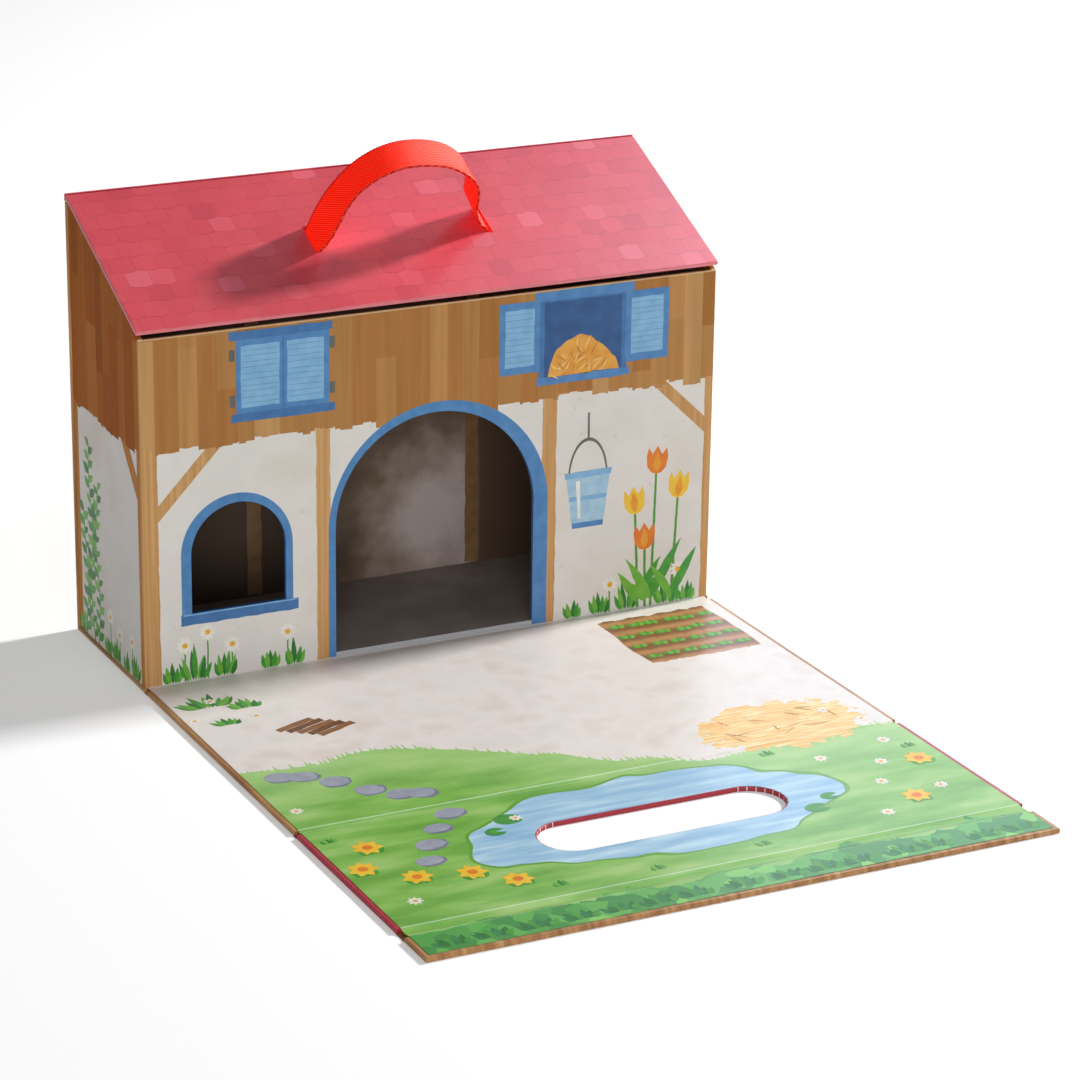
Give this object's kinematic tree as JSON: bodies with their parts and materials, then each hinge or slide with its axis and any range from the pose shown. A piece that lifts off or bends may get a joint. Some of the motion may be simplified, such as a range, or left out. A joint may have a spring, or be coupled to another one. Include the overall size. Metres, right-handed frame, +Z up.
{
  "type": "fold-out toy barn case",
  "caption": "Lean-to toy barn of wrapped board with arched doorway and window, a hinged roof with a webbing handle and a three-panel cover that folds out as a play mat.",
  "frame": {"origin": "centre of the barn's underside on the table, midway between the front wall's face and the back board's face", "axes": "+Z up, doorway faces -Y, the open play mat lies towards -Y, +X to the right seen from the front"},
  "size_m": [0.341, 0.4603, 0.2759],
  "materials": {
    "brown_wrap": "satin laminated wood-grain wrap",
    "magnet_steel": "plated disc",
    "grey_floor": "grey lining paper",
    "greyboard": "grey millboard",
    "wall_print": "laminated print of planks and plaster",
    "stable_lining": "matt lining print",
    "roof_print": "laminated tile print",
    "red_wrap": "laminated tile wrap",
    "red_webbing": "woven polyester webbing",
    "mat_print": "laminated play-mat print",
    "joint_cloth": "laminated paper over book cloth"
  },
  "bodies": {
    "barn": {"base_panel": "brown_wrap", "back_panel": "brown_wrap", "back_magnets": "magnet_steel", "floor_board": "grey_floor", "floor_lining": "grey_floor", "front_wall": "greyboard", "front_wall_print": "wall_print", "front_wall_lining": "stable_lining", "left_wall": "greyboard", "left_wall_print": "wall_print", "left_wall_lining": "stable_lining", "right_wall": "greyboard", "right_wall_print": "wall_print", "right_wall_lining": "stable_lining", "rear_wall": "greyboard", "rear_wall_lining": "stable_lining", "ridge_hinge": "roof_print", "yard_hinge": "joint_cloth"},
    "roof": {"roof_panel": "roof_print", "roof_lining": "stable_lining", "handle_leg_left": "red_webbing", "handle_leg_right": "red_webbing"},
    "handle": {"handle_grip": "red_webbing"},
    "yard_flap": {"yard_panel": "brown_wrap", "yard_print": "mat_print", "fold_hinge": "joint_cloth"},
    "tile_flap": {"tile_panel": "red_wrap", "meadow_print": "mat_print", "lip_hinge": "joint_cloth"},
    "lip_flap": {"lip_panel": "brown_wrap", "lip_print": "mat_print", "lip_magnets": "magnet_steel"}
  },
  "joints": [
    {"name": "roof_hinge", "type": "hinge", "parent": "barn", "child": "roof", "pos_m": [0, 0.052, 0.2482], "axis": [1, 0, 0], "range_deg": [-240, 0], "deforming": ["ridge_hinge"]},
    {"name": "handle_press", "type": "slide", "parent": "roof", "child": "handle", "axis": [0, -0.425, 0.9052], "range_m": [-0.02, 0], "stiffness_N_per_m": 20, "deforming": ["handle_leg_left", "handle_leg_right"]},
    {"name": "cover_hinge", "type": "hinge", "parent": "barn", "child": "yard_flap", "pos_m": [0, -0.056, 0], "axis": [-1, 0, 0], "range_deg": [0, 90], "deforming": ["yard_hinge"]},
    {"name": "cover_fold", "type": "hinge", "parent": "yard_flap", "child": "tile_flap", "pos_m": [0, -0.25697, 0], "axis": [-1, 0, 0], "range_deg": [0, 64.85], "deforming": ["fold_hinge"]},
    {"name": "lip_fold", "type": "hinge", "parent": "tile_flap", "child": "lip_flap", "pos_m": [0, -0.37977, 0], "axis": [-1, 0, 0], "range_deg": [0, 115.15], "deforming": ["lip_hinge"]}
  ]
}
